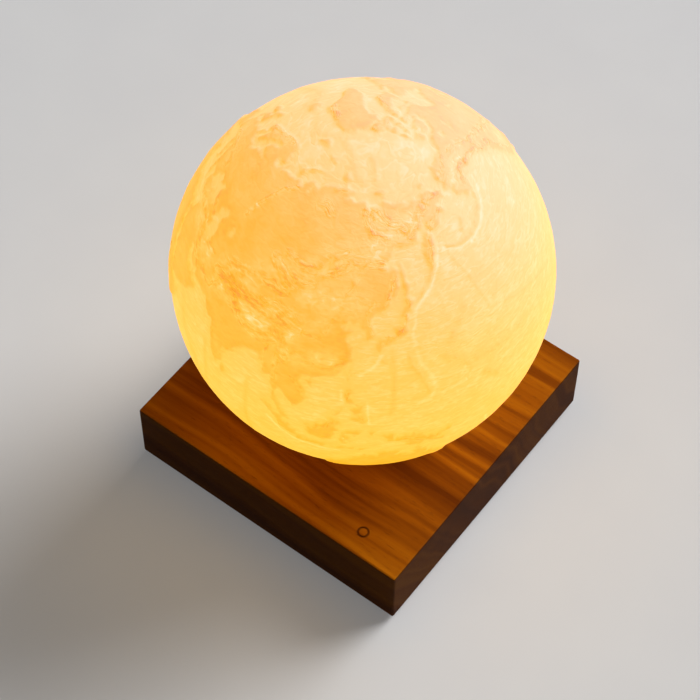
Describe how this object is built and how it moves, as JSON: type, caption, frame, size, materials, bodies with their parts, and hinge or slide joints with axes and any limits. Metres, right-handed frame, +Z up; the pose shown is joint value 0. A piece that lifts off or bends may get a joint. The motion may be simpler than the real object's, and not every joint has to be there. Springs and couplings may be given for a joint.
{
  "type": "levitating globe lamp",
  "caption": "Relief globe of the Earth that floats and turns over a square walnut base, held up by magnets and lit by wireless power.",
  "frame": {"origin": "under the middle of the base, on the surface that the rubber feet stand on", "axes": "+Z up through the globe's axis, north pole up; +Y towards the rear wall with the power inlet; +X along the base to the right"},
  "size_m": [0.1472, 0.1468, 0.1868],
  "materials": {
    "walnut": "oiled, satin",
    "printed_plastic": "printed in layers, matte, lit from inside",
    "black_plastic": "moulded, matte",
    "white_plastic": "moulded, satin",
    "rubber": "matte",
    "steel": "zinc plated",
    "nickel": "nickel plated",
    "iron": "ferrite, matte",
    "copper_wire": "enamelled copper",
    "circuit_board": "green solder mask",
    "chip_black": "moulded",
    "capacitor_sleeve": "shrunk sleeve",
    "film_capacitor_case": "dipped",
    "led_phosphor": "clear over phosphor",
    "red_insulation": "satin",
    "black_insulation": "satin"
  },
  "bodies": {
    "base": {"wooden_base": "walnut", "bottom_cover": "black_plastic", "cover_screw_1": "steel", "cover_screw_2": "steel", "cover_screw_3": "steel", "cover_screw_4": "steel", "rubber_foot_1": "rubber", "rubber_foot_2": "rubber", "rubber_foot_3": "rubber", "rubber_foot_4": "rubber", "control_board": "circuit_board", "board_screw_1": "steel", "board_screw_2": "steel", "board_screw_3": "steel", "board_screw_4": "steel", "magnet_tray": "black_plastic", "ring_magnet": "nickel", "coil_bobbin_1": "white_plastic", "coil_bobbin_2": "white_plastic", "coil_bobbin_3": "white_plastic", "coil_bobbin_4": "white_plastic", "coil_winding_1": "copper_wire", "coil_winding_2": "copper_wire", "coil_winding_3": "copper_wire", "coil_winding_4": "copper_wire", "coil_core_1": "iron", "coil_core_2": "iron", "coil_core_3": "iron", "coil_core_4": "iron", "coil_spacer": "white_plastic", "transmitter_coil": "copper_wire", "hall_sensor_x": "chip_black", "hall_sensor_y": "chip_black", "hall_sensor_z": "chip_black", "capacitor_1": "capacitor_sleeve", "capacitor_2": "capacitor_sleeve", "inductor": "iron", "film_capacitor": "film_capacitor_case", "microcontroller": "chip_black", "coil_driver": "chip_black", "dc_jack": "black_plastic", "jack_wire_1": "black_insulation", "jack_wire_2": "red_insulation", "touch_pad": "copper_wire", "touch_wire": "red_insulation"},
    "floating_magnet": {"float_magnet": "nickel"},
    "globe": {"globe_shell": "printed_plastic", "globe_cap": "black_plastic", "cap_screw_1": "steel", "cap_screw_2": "steel", "cap_screw_3": "steel", "receiver_coil": "copper_wire", "receiver_lead": "red_insulation", "led_board": "white_plastic", "led_1": "led_phosphor", "led_2": "led_phosphor", "led_3": "led_phosphor", "led_4": "led_phosphor", "rectifier": "chip_black", "smoothing_capacitor": "capacitor_sleeve"}
  },
  "joints": [
    {"name": "globe_lift", "type": "slide", "parent": "base", "child": "floating_magnet", "axis": [0, 0, 1], "range_m": [0, 0.12]},
    {"name": "globe_spin", "type": "hinge", "parent": "floating_magnet", "child": "globe", "pos_m": [0, 0, 0.113], "axis": [0, 0, 1], "continuous": true}
  ]
}
